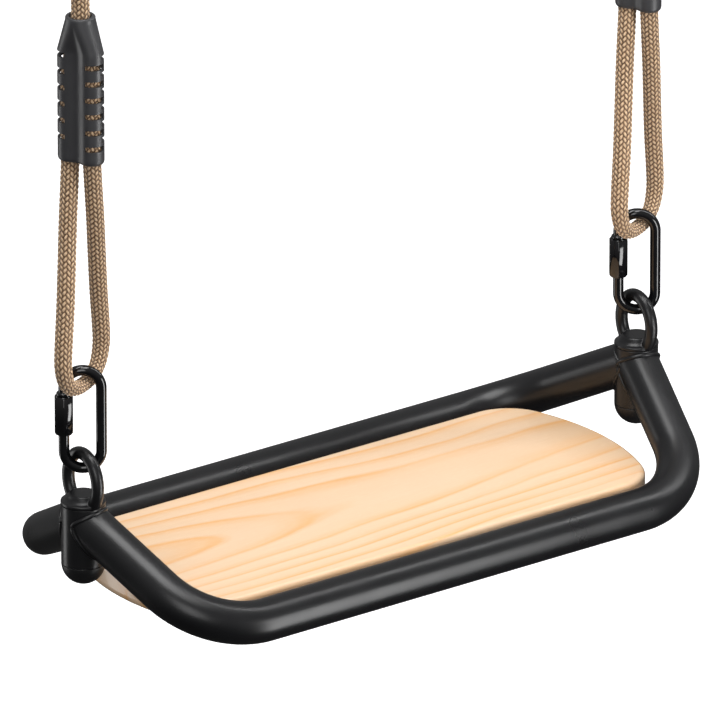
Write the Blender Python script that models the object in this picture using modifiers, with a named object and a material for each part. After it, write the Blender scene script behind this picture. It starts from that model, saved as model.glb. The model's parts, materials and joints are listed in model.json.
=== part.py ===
"""Board swing: a pine board in a tubular steel frame, hung on two braided ropes with clamp sleeves and quick links.

The origin is midway between the two hanger links, level with the inner crowns that bear on the hooks.
+X runs along the board, +Y to the rear and +Z up. All lengths are in metres.
"""

import math

import bmesh
import bpy
import numpy as np
from mathutils import Matrix, Vector

COLLECTION = "board_swing"
SIDES = {"left": -1, "right": 1}
GAP = 0.0003  # air kept between two neighbouring solids
CLEAR = 0.03  # how far a cutter goes on past a small piece
STUB = 0.002  # how far a drill goes on past a face

# Heights: the level where the frame tubes meet the posts, and heights above that level
FRAME_Z = -0.793
EYE_SEAT = 0.0123
RING_CENTRE = 0.029
SEAT_LINK_CENTRE = 0.077
SLEEVE_FOOT = 0.2755
SWAY_PIVOT = 0.4411
LEVEL_PIVOT = 0.1033
UPPER_SLEEVE_FOOT = 0.5605

# Tubular frame
POST_SPACING = 0.498
TUBE_RADIUS = 0.016
TUBE_WALL = 0.002
BAR_Y = 0.111
BAR_DROP = 0.061
CORNER_X = 0.2185
BEND_RADIUS = 0.064
BORE_OVERRUN = 0.010  # how far the tube's inner cutter goes on past both ends
COPE_TOP = 0.050  # heights of the cutter that fits a tube's end to its post
COPE_FOOT = -0.060
FAR_X = 0.4  # half sizes of the block that takes off what crosses to the other tube's side
FAR_Z = 0.1
BEND_STEPS = 5
TUBE_SIDES = 14

# Posts and what closes them
POST_TOP = 0.012
POST_FOOT = -0.033
POST_SIDES = 24
CAP_STEM_TOP = -0.021
PLUG_TOP = 0.009
PLUG_FOOT = -0.007
SHANK_RADIUS = 0.005
SHANK_FOOT = -0.019
LOCK_NUT_TOP = -0.0073
LOCK_NUT_DEPTH = 0.008
LOCK_NUT_RADIUS = 0.0092

# Eye ring, an upright ellipse across the frame
RING_HALF_Y = 0.0178
RING_HALF_Z = 0.0213
RING_ROD = 0.00465

# Seat board
BOARD_LENGTH = 0.437
BOARD_WIDTH = 0.177
BOARD_THICK = 0.0217
BOARD_TOP = -0.050
BOARD_END_RADIUS = 0.180
BOARD_CORNER_RADIUS = 0.040
BOARD_ROUNDING = 0.008

# Straps under the board, and their wood screws
STRAP_X = 0.140
STRAP_WIDTH = 0.030
STRAP_THICK = 0.004
STRAP_REACH = 0.0985
SCREW_Y = 0.062
SCREW_SHANK = 0.0021
SCREW_HEAD = 0.0048
SCREW_HEAD_DEPTH = 0.0026
SCREW_DEPTH = 0.013

# Quick links: rod centreline, opening and sliding nut
LINK_ROD = 0.0039
LINK_HALF_WIDTH = 0.0134
LINK_HALF_HEIGHT = 0.0376
LINK_OPEN_TOP = 0.0156
LINK_OPEN_FOOT = 0.0054
LINK_NUT_TOP = 0.0188
LINK_NUT_FOOT = -0.0108
LINK_NUT_RADIUS = 0.0076
LINK_NUT_BORE = 0.0043
LINK_NUT_CHAMFER = 0.0012
COLLAR_RADIUS = 0.0053
COLLAR_DEPTH = 0.002
COLLAR_EDGE = 0.0006
SEAT_LINK_TURN = math.radians(-35)
HANGER_LINK_CENTRE = -FRAME_Z + LINK_ROD - LINK_HALF_HEIGHT  # its top crown bears on the hook at height 0

# Clamp sleeve: two lobes, side by side, that run together into a round neck
SLEEVE_HEIGHT = 0.1105
SLEEVE_TAPER = 0.022  # from the two lobes to the round neck
SLEEVE_ROUNDING = 0.003
SHOULDER_RISE = 0.010
SHOULDER_RADIUS = 0.0104
SHOULDER_WAIST = 0.0093
NECK_EDGE = 0.001
NECK_DEPTH = 0.007
BORE_TAPER_DROP = 0.014  # how far below the outer taper the bore's taper starts
LOBE_HALF_SPACING = 0.009
LOBE_RADIUS = 0.009
LOBE_BORE = 0.0074
WAIST = 0.0070
WAIST_BORE = 0.0057
NECK_RADIUS = 0.0112
NECK_BORE = 0.0076
SLOT_FIRST = 0.0128
SLOT_PITCH = 0.0124
SLOT_COUNT = 6
SLOT_HEIGHT = 0.0042
SLOT_INSET = 0.0082
SLOT_BACK = 0.001
SEAT_SLEEVE_TURN = math.radians(-67.2)

# Braided rope
ROPE_RADIUS = 0.0066
ROPE_SIDES = 8
STEPS_PER_SPAN = 2

# One half of the rope from the sway pivot down into the sleeve's left lobe, round the seat link and up
# into the right lobe: offsets from the rope's axis, heights above the frame level, and radius.
SEAT_ROPE_ROUTE = [
    (0.0, 0.0, 0.4462, 0.0038),
    (0.0, 0.0, 0.4434, 0.0062),
    (0.0, 0.0, 0.4405, 0.0066),
    (0.0, 0.0, 0.4200, 0.0066),
    (0.0, 0.0, 0.4000, 0.0066),
    (0.0, 0.0, 0.3850, 0.0066),
    (-0.0005, 0.0013, 0.3740, 0.0064),
    (-0.0018, 0.0042, 0.3620, 0.0063),
    (-0.0029, 0.0070, 0.3500, 0.0064),
    (-0.0034, 0.0081, 0.3390, 0.0066),
    (-0.0035, 0.0083, 0.3250, 0.0066),
    (-0.0035, 0.0083, 0.3000, 0.0066),
    (-0.0035, 0.0083, 0.2780, 0.0066),
    (-0.0052, 0.0069, 0.2620, 0.0066),
    (-0.0098, 0.0030, 0.2310, 0.0066),
    (-0.0148, -0.0022, 0.2000, 0.0066),
    (-0.0198, -0.0072, 0.1690, 0.0066),
    (-0.0243, -0.0108, 0.1400, 0.0065),
    (-0.0251, -0.0117, 0.1250, 0.0063),
    (-0.0208, -0.0097, 0.1123, 0.0059),
    (-0.0118, -0.0055, 0.1052, 0.0055),
    (0.0, 0.0, 0.1033, 0.0053),
    (0.0118, 0.0055, 0.1052, 0.0055),
    (0.0208, 0.0097, 0.1123, 0.0059),
    (0.0251, 0.0117, 0.1250, 0.0063),
    (0.0243, 0.0108, 0.1400, 0.0065),
    (0.0198, 0.0072, 0.1690, 0.0066),
    (0.0148, 0.0022, 0.2000, 0.0066),
    (0.0098, -0.0030, 0.2310, 0.0066),
    (0.0052, -0.0069, 0.2620, 0.0066),
    (0.0035, -0.0083, 0.2780, 0.0066),
    (0.0035, -0.0083, 0.3000, 0.0066),
    (0.0035, -0.0083, 0.3512, 0.0066),
]

# The rope above the sway pivot: out of the upper sleeve's neck, up one lobe, over the hanger link and down.
HANGER_ROPE_ROUTE = [
    (0.0, 0.0, 0.4480, 0.0066),
    (0.0, 0.0, 0.4540, 0.0066),
    (0.0, 0.0014, 0.4620, 0.0064),
    (0.0, 0.0046, 0.4740, 0.0063),
    (0.0, 0.0076, 0.4860, 0.0064),
    (0.0, 0.0088, 0.4970, 0.0066),
    (0.0, 0.0090, 0.5110, 0.0066),
    (0.0, 0.0090, 0.5360, 0.0066),
    (0.0, 0.0090, 0.5580, 0.0066),
    (0.0, 0.0106, 0.5740, 0.0066),
    (0.0, 0.0148, 0.6050, 0.0066),
    (0.0, 0.0190, 0.6360, 0.0066),
    (0.0, 0.0225, 0.6670, 0.0066),
    (0.0, 0.0245, 0.6960, 0.0065),
    (0.0, 0.0235, 0.7110, 0.0063),
    (0.0, 0.0185, 0.7228, 0.0059),
    (0.0, 0.0100, 0.7302, 0.0055),
    (0.0, 0.0, 0.7326, 0.0053),
    (0.0, -0.0100, 0.7302, 0.0055),
    (0.0, -0.0185, 0.7228, 0.0059),
    (0.0, -0.0235, 0.7110, 0.0063),
    (0.0, -0.0245, 0.6960, 0.0065),
    (0.0, -0.0225, 0.6670, 0.0066),
    (0.0, -0.0190, 0.6360, 0.0066),
    (0.0, -0.0148, 0.6050, 0.0066),
    (0.0, -0.0106, 0.5740, 0.0066),
    (0.0, -0.0090, 0.5580, 0.0066),
    (0.0, -0.0090, 0.5360, 0.0066),
    (0.0, -0.0090, 0.4850, 0.0066),
]


def clear_scene():
    for obj in list(bpy.data.objects):
        bpy.data.objects.remove(obj)


def collection(name):
    made = bpy.data.collections.new(name)
    bpy.context.scene.collection.children.link(made)
    return made


def material(name, colour, roughness, metallic):
    made = bpy.data.materials.new(name)
    made.use_nodes = True
    shader = made.node_tree.nodes["Principled BSDF"]
    shader.inputs["Base Color"].default_value = (*colour, 1)
    shader.inputs["Roughness"].default_value = roughness
    shader.inputs["Metallic"].default_value = metallic
    return made


def helper(mesh):
    """A hidden object in the cutter collection, for a shape that is still being made."""
    obj = bpy.data.objects.new("helper", mesh)
    obj.hide_render = True
    obj.display_type = "WIRE"
    cutters.objects.link(obj)
    return obj


def evaluated_mesh(obj):
    """obj with its modifiers or bevel as one welded mesh; obj is removed."""
    bpy.context.view_layer.update()
    graph = bpy.context.evaluated_depsgraph_get()
    mesh = bpy.data.meshes.new_from_object(obj.evaluated_get(graph))
    mesh.transform(obj.matrix_world)
    bpy.data.objects.remove(obj)
    work = bmesh.new()
    work.from_mesh(mesh)
    bmesh.ops.remove_doubles(work, verts=work.verts, dist=1e-6)
    bmesh.ops.recalc_face_normals(work, faces=work.faces)
    work.to_mesh(mesh)
    work.free()
    return mesh


def combined(base, tools, operation):
    """The mesh that is left when tools are cut from base, joined to it or crossed with it."""
    obj = helper(base)
    helpers = [helper(tool) for tool in tools]
    for tool in helpers:
        boolean = obj.modifiers.new("boolean", "BOOLEAN")
        boolean.operation = operation
        boolean.solver = "EXACT"
        boolean.object = tool
    mesh = evaluated_mesh(obj)
    for tool in helpers:
        bpy.data.objects.remove(tool)
    return mesh


def swept(points, radius, sides, radii=None):
    """A round rod along points, with filled ends."""
    curve = bpy.data.curves.new("path", "CURVE")
    curve.dimensions = "3D"
    curve.bevel_depth = radius
    curve.bevel_resolution = sides // 2 - 2
    curve.use_fill_caps = True
    spline = curve.splines.new("POLY")
    spline.points.add(len(points) - 1)
    for index, (point, place) in enumerate(zip(spline.points, points, strict=True)):
        point.co = (*place, 1)
        point.radius = radii[index] / radius if radii else 1
    return evaluated_mesh(helper(curve))


def turned(profile, steps, on_axis=True):
    """The solid that a profile of (radius, height) makes round Z; it runs down its outer side."""
    mesh = bpy.data.meshes.new("profile")
    edges = [(i, i + 1) for i in range(len(profile) - 1)]
    if not on_axis:
        edges.append((len(profile) - 1, 0))
    mesh.from_pydata([(radius, 0, height) for radius, height in profile], edges, [])
    obj = helper(mesh)
    screw = obj.modifiers.new("turn", "SCREW")
    screw.steps = steps
    screw.render_steps = steps
    screw.use_merge_vertices = True
    screw.merge_threshold = 0.00001
    return evaluated_mesh(obj)


def box(low, high):
    mesh = bpy.data.meshes.new("box")
    work = bmesh.new()
    bmesh.ops.create_cube(work, size=1)
    centre = (Vector(low) + Vector(high)) / 2
    size = Vector(high) - Vector(low)
    bmesh.ops.scale(work, vec=size, verts=work.verts)
    bmesh.ops.translate(work, vec=centre, verts=work.verts)
    work.to_mesh(mesh)
    work.free()
    return mesh


def prism(outline, low, high):
    """A flat outline of (x, y) points, stood up from low to high."""
    curve = bpy.data.curves.new("outline", "CURVE")
    curve.dimensions = "2D"
    curve.fill_mode = "BOTH"
    curve.extrude = (high - low) / 2
    spline = curve.splines.new("POLY")
    spline.points.add(len(outline) - 1)
    for point, (x, y) in zip(spline.points, outline):
        point.co = (x, y, 0, 1)
    spline.use_cyclic_u = True
    mesh = evaluated_mesh(helper(curve))
    mesh.transform(Matrix.Translation((0, 0, (low + high) / 2)))
    return mesh


def hexagon(radius):
    corners = [math.radians(60 * k + 30) for k in range(6)]
    return [(radius * math.cos(a), radius * math.sin(a)) for a in corners]


def hex_nut(radius, bore, low, high, chamfer, bore_sides=12):
    """A hexagonal nut, its corners turned off at both ends."""
    blank = prism(hexagon(radius), low, high)
    profile = [
        (0, high + GAP),
        (radius - chamfer - GAP, high + GAP),
        (radius + GAP, high - chamfer),
        (radius + GAP, low + chamfer),
        (radius - chamfer - GAP, low - GAP),
        (0, low - GAP),
    ]
    rounded = combined(blank, [turned(profile, 18)], "INTERSECT")
    hole = turned([(0, high + STUB), (bore, high + STUB), (bore, low - STUB), (0, low - STUB)], bore_sides)
    return combined(rounded, [hole], "DIFFERENCE")


def arc(centre, start, stop, radius, steps):
    """Points on a circle in a plane, from angle start to angle stop."""
    angles = np.linspace(start, stop, steps + 1)
    return [(centre[0] + radius * math.cos(a), centre[1] + radius * math.sin(a)) for a in angles]


def bend(corner, before, after, radius, steps):
    """The rounded corner of a tube's centreline, between two straight runs."""
    corner = Vector(corner)
    back = (Vector(before) - corner).normalized()
    ahead = (Vector(after) - corner).normalized()
    half = back.angle(ahead) / 2
    centre = corner + (back + ahead).normalized() * radius / math.sin(half)
    first = corner + back * radius / math.tan(half)
    axis = back.cross(ahead).normalized()
    sweep = -(math.pi - 2 * half)
    turns = [Matrix.Rotation(sweep * k / steps, 3, axis) for k in range(steps + 1)]
    return [centre + turn @ (first - centre) for turn in turns]


def smooth_route(route, steps):
    """Points and radii on a Catmull-Rom curve through a route of (x, y, z, radius)."""
    knots = np.array(route)
    padded = np.vstack([2 * knots[0] - knots[1], knots, 2 * knots[-1] - knots[-2]])
    found = []
    for a, b, c, d in zip(padded, padded[1:], padded[2:], padded[3:]):
        for t in np.arange(steps) / steps:
            found.append(
                0.5 * (2 * b + (c - a) * t + (2 * a - 5 * b + 4 * c - d) * t**2 + (3 * b - a - 3 * c + d) * t**3)
            )
    found.append(knots[-1])
    return [tuple(p[:3]) for p in found], [float(p[3]) for p in found]


def place(name, mesh, finish, where, parent=None, crease=35):
    """One named piece with its origin at where; the mesh is given about that origin."""
    obj = bpy.data.objects.new(name, mesh)
    if not mesh.materials:
        mesh.materials.append(finish)
        mesh.shade_smooth()
        mesh.set_sharp_from_angle(angle=math.radians(crease))
    parts.objects.link(obj)
    obj.location = where
    if parent:
        obj.parent = parent
        obj.matrix_parent_inverse = Matrix.Translation(parent.location).inverted()
    return obj


def pivot(name, where):
    """An empty on a joint's axis."""
    empty = bpy.data.objects.new(name, None)
    empty.empty_display_size = 0.03
    empty.location = where
    parts.objects.link(empty)
    return empty


def at_side(side, height):
    return Vector((SIDES[side] * POST_SPACING / 2, 0, FRAME_Z + height))


# Frame


def frame_tube_path(way):
    """Centreline of the front (way -1) or rear (way 1) tube, from the left post down, along and up to the right."""
    posts = [Vector((s * POST_SPACING / 2, 0, 0)) for s in (-1, 1)]
    corners = [Vector((s * CORNER_X, way * BAR_Y, -BAR_DROP)) for s in (-1, 1)]
    left = bend(corners[0], posts[0], corners[1], BEND_RADIUS, BEND_STEPS)
    right = bend(corners[1], corners[0], posts[1], BEND_RADIUS, BEND_STEPS)
    return [posts[0], *left, *right, posts[1]]


def frame_tube(way):
    """One bent tube, hollow, its ends fish-mouthed to fit round the posts."""
    path = frame_tube_path(way)
    outer = swept(path, TUBE_RADIUS, TUBE_SIDES)
    first = path[0] + (path[0] - path[1]).normalized() * BORE_OVERRUN
    last = path[-1] + (path[-1] - path[-2]).normalized() * BORE_OVERRUN
    inner = swept([first, *path, last], TUBE_RADIUS - TUBE_WALL, TUBE_SIDES)
    radius = TUBE_RADIUS + GAP
    profile = [(0, COPE_TOP), (radius, COPE_TOP), (radius, COPE_FOOT), (0, COPE_FOOT)]
    edge = way * GAP / 2
    beyond = edge + way * COPE_FOOT
    far_side = box((-FAR_X, min(edge, beyond), -FAR_Z), (FAR_X, max(edge, beyond), FAR_Z))
    cuts = [inner, far_side]
    for sign in (-1, 1):
        cut = turned(profile, POST_SIDES)
        cut.transform(Matrix.Translation((sign * POST_SPACING / 2, 0, 0)))
        cuts.append(cut)
    return combined(outer, cuts, "DIFFERENCE")


def post():
    outer = TUBE_RADIUS
    inner = TUBE_RADIUS - TUBE_WALL
    profile = [(outer, POST_TOP), (outer, POST_FOOT), (inner, POST_FOOT), (inner, POST_TOP)]
    return turned(profile, POST_SIDES, on_axis=False)


def post_cap():
    """A domed plug, pressed into the foot of the post."""
    stem = TUBE_RADIUS - TUBE_WALL - GAP
    rim = POST_FOOT - GAP
    dome = [(TUBE_RADIUS * math.cos(a), rim - TUBE_RADIUS * math.sin(a)) for a in np.radians([0, 22, 45, 68])]
    profile = [(0, CAP_STEM_TOP), (stem, CAP_STEM_TOP), (stem, rim), *dome, (0, rim - TUBE_RADIUS)]
    return turned(profile, POST_SIDES)


def eye_plug():
    """The steel bush welded inside the post, threaded for the eye."""
    outer = TUBE_RADIUS - TUBE_WALL - GAP
    bore = SHANK_RADIUS + GAP
    return turned([(outer, PLUG_TOP), (outer, PLUG_FOOT), (bore, PLUG_FOOT), (bore, PLUG_TOP)], 16, on_axis=False)


def eye():
    """The forged eye: an upright ring on a flared foot, with a shank down into the post."""
    centre = RING_CENTRE
    turns = np.radians(np.linspace(-68, 248, 21))
    path = [(0, RING_HALF_Y * math.cos(a), centre + RING_HALF_Z * math.sin(a)) for a in turns]
    ring = swept(path, RING_ROD, 8)
    below = box((-CLEAR, -CLEAR, -CLEAR), (CLEAR, CLEAR, EYE_SEAT + GAP))
    ring = combined(ring, [below], "DIFFERENCE")
    foot = [
        (0, EYE_SEAT + 0.0078),
        (0.0095, EYE_SEAT + 0.0076),
        (0.0122, EYE_SEAT + 0.0064),
        (0.0142, EYE_SEAT + 0.0048),
        (0.0159, EYE_SEAT + 0.0039),
        (0.0163, EYE_SEAT + 0.0032),
        (0.0163, EYE_SEAT + 0.0005),
        (0.0158, EYE_SEAT),
        (SHANK_RADIUS, EYE_SEAT),
        (SHANK_RADIUS, SHANK_FOOT + 0.0008),
        (SHANK_RADIUS - 0.0008, SHANK_FOOT),
        (0, SHANK_FOOT),
    ]
    return combined(turned(foot, POST_SIDES), [ring], "UNION")


def build_frame(seat):
    steel = material("black_frame", (0.018, 0.018, 0.020), 0.45, 0.0)
    plastic = material("black_cap", (0.020, 0.020, 0.022), 0.5, 0.0)
    zinc = material("zinc_steel", (0.55, 0.55, 0.56), 0.35, 1.0)
    middle = Vector((0, 0, FRAME_Z))
    place("front_tube", frame_tube(-1), steel, middle, seat)
    place("rear_tube", frame_tube(1), steel, middle, seat)
    nut = hex_nut(LOCK_NUT_RADIUS, SHANK_RADIUS + GAP, LOCK_NUT_TOP - LOCK_NUT_DEPTH, LOCK_NUT_TOP, 0.0012)
    pieces = {
        "post": (post(), steel),
        "post_cap": (post_cap(), plastic),
        "eye": (eye(), steel),
        "eye_bush": (eye_plug(), zinc),
        "eye_nut": (nut, zinc),
    }
    for side in SIDES:
        for name, (mesh, finish) in pieces.items():
            place(f"{name}_{side}", mesh, finish, at_side(side, 0), seat)


# Board


def board_outline():
    """The board from above: straight long sides, round corners and gently bowed ends."""
    half_length = BOARD_LENGTH / 2
    half_width = BOARD_WIDTH / 2
    bow_centre = half_length - BOARD_END_RADIUS
    across = half_width - BOARD_CORNER_RADIUS
    along = bow_centre + math.sqrt((BOARD_END_RADIUS - BOARD_CORNER_RADIUS) ** 2 - across**2)
    meet = math.atan2(across, along - bow_centre)
    end = arc((bow_centre, 0), -meet, meet, BOARD_END_RADIUS, 6)
    corner = arc((along, across), meet, math.pi / 2, BOARD_CORNER_RADIUS, 5)
    right = [(x, -y) for x, y in reversed(corner[1:])] + end + corner[1:]
    return right + [(-x, -y) for x, y in right]


def board():
    mesh = prism(board_outline(), -BOARD_THICK, 0)
    obj = helper(mesh)
    bevel = obj.modifiers.new("rounding", "BEVEL")
    bevel.width = BOARD_ROUNDING
    bevel.segments = 2
    bevel.limit_method = "ANGLE"
    bevel.angle_limit = math.radians(60)
    mesh = evaluated_mesh(obj)
    holes = []
    for x in (-STRAP_X, STRAP_X):
        for y in (-SCREW_Y, SCREW_Y):
            radius = SCREW_SHANK + GAP
            floor = -BOARD_THICK - STUB
            top = -BOARD_THICK + SCREW_DEPTH + GAP
            hole = turned([(0, top), (radius, top), (radius, floor), (0, floor)], 12)
            hole.transform(Matrix.Translation((x, y, 0)))
            holes.append(hole)
    return combined(mesh, holes, "DIFFERENCE")


def strap():
    """A flat steel bar, welded between the two tubes, with its ends cut to meet their flanks."""
    top = -BOARD_THICK - GAP
    foot = top - STRAP_THICK
    half = STRAP_WIDTH / 2
    bar = box((-half, -STRAP_REACH, foot), (half, STRAP_REACH, top))
    holes = []
    for y in (-SCREW_Y, SCREW_Y):
        radius = SCREW_SHANK + GAP
        hole = turned([(0, top + STUB), (radius, top + STUB), (radius, foot - STUB), (0, foot - STUB)], 12)
        hole.transform(Matrix.Translation((0, y, 0)))
        holes.append(hole)
    return combined(bar, holes, "DIFFERENCE")


def screw():
    """A pan-head wood screw, head down, about the point where it enters the board."""
    under = -GAP - STRAP_THICK - GAP
    profile = [
        (0, SCREW_DEPTH),
        (SCREW_SHANK * 0.35, SCREW_DEPTH - 0.0003),
        (SCREW_SHANK, SCREW_DEPTH - 0.003),
        (SCREW_SHANK, under),
        (SCREW_HEAD, under),
        (SCREW_HEAD, under - SCREW_HEAD_DEPTH * 0.5),
        (SCREW_HEAD * 0.7, under - SCREW_HEAD_DEPTH),
        (0, under - SCREW_HEAD_DEPTH),
    ]
    return turned(profile, 12)


def build_board(seat):
    pine = material("pine", (0.78, 0.57, 0.38), 0.45, 0.0)
    steel = material("black_strap", (0.018, 0.018, 0.020), 0.45, 0.0)
    zinc = material("zinc_screw", (0.55, 0.55, 0.56), 0.35, 1.0)
    top = Vector((0, 0, FRAME_Z + BOARD_TOP))
    place("seat_board", board(), pine, top, seat, crease=50)
    strap_mesh = strap()
    screw_mesh = screw()
    for side, sign in SIDES.items():
        place(f"seat_strap_{side}", strap_mesh, steel, top + Vector((sign * STRAP_X, 0, 0)), seat)
        for end, y in (("front", -SCREW_Y), ("rear", SCREW_Y)):
            where = top + Vector((sign * STRAP_X, y, -BOARD_THICK))
            place(f"strap_screw_{side}_{end}", screw_mesh, zinc, where, seat)


# Quick links


def link_rod():
    """The open rod of a quick link about its centre, in the XZ plane, with its opening at -X."""
    half = LINK_HALF_WIDTH
    straight = LINK_HALF_HEIGHT - half
    top = arc((0, straight), math.pi, 0, half, 8)
    foot = arc((0, -straight), 0, -math.pi, half, 8)
    flat = [(-half, LINK_OPEN_TOP), *top, *foot, (-half, LINK_OPEN_FOOT)]
    rod = swept([(x, 0, z) for x, z in flat], LINK_ROD, 8)
    low = LINK_NUT_TOP + GAP
    high = low + COLLAR_DEPTH
    profile = [
        (0, high),
        (COLLAR_RADIUS - COLLAR_EDGE, high),
        (COLLAR_RADIUS, high - COLLAR_EDGE),
        (COLLAR_RADIUS, low),
        (0, low),
    ]
    collar = turned(profile, 12)
    collar.transform(Matrix.Translation((-half, 0, 0)))
    return combined(rod, [collar], "UNION")


def build_link(name, height, turn, parent_of):
    """A pair of links, one on each side, with their nuts. parent_of gives each side's empty."""
    black = material(name + "_black", (0.008, 0.008, 0.009), 0.2, 0.0)
    rod = link_rod()
    nut = hex_nut(LINK_NUT_RADIUS, LINK_NUT_BORE, LINK_NUT_FOOT, LINK_NUT_TOP, LINK_NUT_CHAMFER)
    spin = Matrix.Rotation(turn, 4, "Z")
    rod.transform(spin)
    nut.transform(spin)
    off = spin @ Vector((-LINK_HALF_WIDTH, 0, 0))
    for side in SIDES:
        centre = at_side(side, height)
        place(f"{name}_{side}", rod, black, centre, parent_of[side])
        place(f"{name}_nut_{side}", nut, black, centre + off, parent_of[side])


# Clamp sleeves


def lobed_section(half_spacing, radius, waist, height, steps=4):
    """Two round lobes along X with a flat waist between them, or one circle where half_spacing is 0."""
    lean = math.asin(min(1.0, waist / radius))
    lobe = arc((half_spacing, 0), -(math.pi - lean), math.pi - lean, radius, 2 * steps)
    if half_spacing < 1e-6:
        lobe = arc((0, 0), -math.pi / 2, math.pi / 2, radius, 2 * steps)
    return [(x, y, height) for x, y in lobe + [(-x, -y) for x, y in lobe]]


def sleeve():
    """The moulded sleeve about its foot's centre, its lobes along X: an open shell with clamping slots."""
    body_top = SLEEVE_HEIGHT - SLEEVE_TAPER
    foot_waist = WAIST * (LOBE_BORE + NECK_EDGE / 2) / LOBE_RADIUS
    outer = [
        lobed_section(LOBE_HALF_SPACING, LOBE_BORE + NECK_EDGE / 2, foot_waist, 0),
        lobed_section(LOBE_HALF_SPACING, LOBE_RADIUS, WAIST, SLEEVE_ROUNDING),
        lobed_section(LOBE_HALF_SPACING, LOBE_RADIUS, WAIST, body_top),
        lobed_section(LOBE_HALF_SPACING / 2, SHOULDER_RADIUS, SHOULDER_WAIST, body_top + SHOULDER_RISE),
        lobed_section(0, NECK_RADIUS, NECK_RADIUS, SLEEVE_HEIGHT - NECK_EDGE),
        lobed_section(0, NECK_RADIUS - NECK_EDGE, NECK_RADIUS, SLEEVE_HEIGHT),
    ]
    inner = [
        lobed_section(0, NECK_BORE, NECK_BORE, SLEEVE_HEIGHT),
        lobed_section(0, NECK_BORE, NECK_BORE, SLEEVE_HEIGHT - NECK_DEPTH),
        lobed_section(LOBE_HALF_SPACING, LOBE_BORE, WAIST_BORE, body_top - BORE_TAPER_DROP),
        lobed_section(LOBE_HALF_SPACING, LOBE_BORE, WAIST_BORE, 0),
    ]
    work = bmesh.new()
    rings = [[work.verts.new(point) for point in section] for section in outer + inner]
    for below, above in zip(rings, rings[1:] + rings[:1]):
        for k in range(len(below)):
            after = (k + 1) % len(below)
            work.faces.new((below[k], below[after], above[after], above[k]))
    bmesh.ops.recalc_face_normals(work, faces=work.faces)
    mesh = bpy.data.meshes.new("sleeve")
    work.to_mesh(mesh)
    work.free()
    slots = []
    for end in (-1, 1):
        for k in range(SLOT_COUNT):
            middle = SLOT_FIRST + (k + (end < 0) / 2) * SLOT_PITCH
            corner = (end * SLOT_INSET, SLOT_BACK, middle - SLOT_HEIGHT / 2)
            opposite = (end * CLEAR, -CLEAR, middle + SLOT_HEIGHT / 2)
            low = [min(a, b) for a, b in zip(corner, opposite)]
            high = [max(a, b) for a, b in zip(corner, opposite)]
            slots.append(box(low, high))
    return combined(mesh, slots, "DIFFERENCE")


def build_sleeves(lower, upper):
    plastic = material("grey_plastic", (0.055, 0.056, 0.060), 0.4, 0.0)
    lower_mesh = sleeve()
    upper_mesh = lower_mesh.copy()
    lower_mesh.transform(Matrix.Rotation(SEAT_SLEEVE_TURN, 4, "Z"))
    upper_mesh.transform(Matrix.Rotation(math.pi, 4, "X") @ Matrix.Rotation(math.pi / 2, 4, "Z"))
    for side in SIDES:
        place(f"lower_sleeve_{side}", lower_mesh, plastic, at_side(side, SLEEVE_FOOT), lower[side])
        place(f"upper_sleeve_{side}", upper_mesh, plastic, at_side(side, UPPER_SLEEVE_FOOT), upper[side])


# Ropes


def rope(route, about):
    """A length of rope about a height on its axis."""
    points, radii = smooth_route(route, STEPS_PER_SPAN)
    points = [(x, y, z - about) for x, y, z in points]
    return swept(points, ROPE_RADIUS, ROPE_SIDES, radii)


def build_ropes(lower, upper):
    braid = material("tan_braid", (0.50, 0.33, 0.19), 0.85, 0.0)
    lower_mesh = rope(SEAT_ROPE_ROUTE, SWAY_PIVOT)
    swing_height = HANGER_LINK_CENTRE - LINK_HALF_HEIGHT
    upper_mesh = rope(HANGER_ROPE_ROUTE, swing_height)
    for side in SIDES:
        place(f"rope_{side}", lower_mesh, braid, at_side(side, SWAY_PIVOT), lower[side])
        place(f"upper_rope_{side}", upper_mesh, braid, at_side(side, swing_height), upper[side])


def main():
    swing_height = HANGER_LINK_CENTRE - LINK_HALF_HEIGHT
    tip_height = SEAT_LINK_CENTRE - LINK_HALF_HEIGHT
    hangers = {side: pivot(f"hook_{side}", at_side(side, -FRAME_Z)) for side in SIDES}
    upper = {side: pivot(f"swing_pivot_{side}", at_side(side, swing_height)) for side in SIDES}
    lower = {side: pivot(f"sway_pivot_{side}", at_side(side, SWAY_PIVOT)) for side in SIDES}
    links = {side: pivot(f"level_pivot_{side}", at_side(side, LEVEL_PIVOT)) for side in SIDES}
    seat = pivot("tip_pivot", at_side("left", tip_height))
    build_frame(seat)
    build_board(seat)
    build_link("seat_link", SEAT_LINK_CENTRE, SEAT_LINK_TURN, links)
    build_link("hanger_link", HANGER_LINK_CENTRE, 0.0, hangers)
    build_sleeves(lower, upper)
    build_ropes(lower, upper)


clear_scene()
parts = collection(COLLECTION)
cutters = collection("cutters")
main()
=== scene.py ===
"""Looks of the board swing: braided ropes, clamp sleeves, quick links, powder-coated frame and pine board.

Lengths are in metres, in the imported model's frame: +X along the board, +Y to the rear, +Z up, and the origin
between the two hanger links. Heights above the level where the tubes meet the posts are called local.
"""

import json
import math

import bmesh
import bpy
import numpy as np
from mathutils import Matrix, Vector


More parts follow.
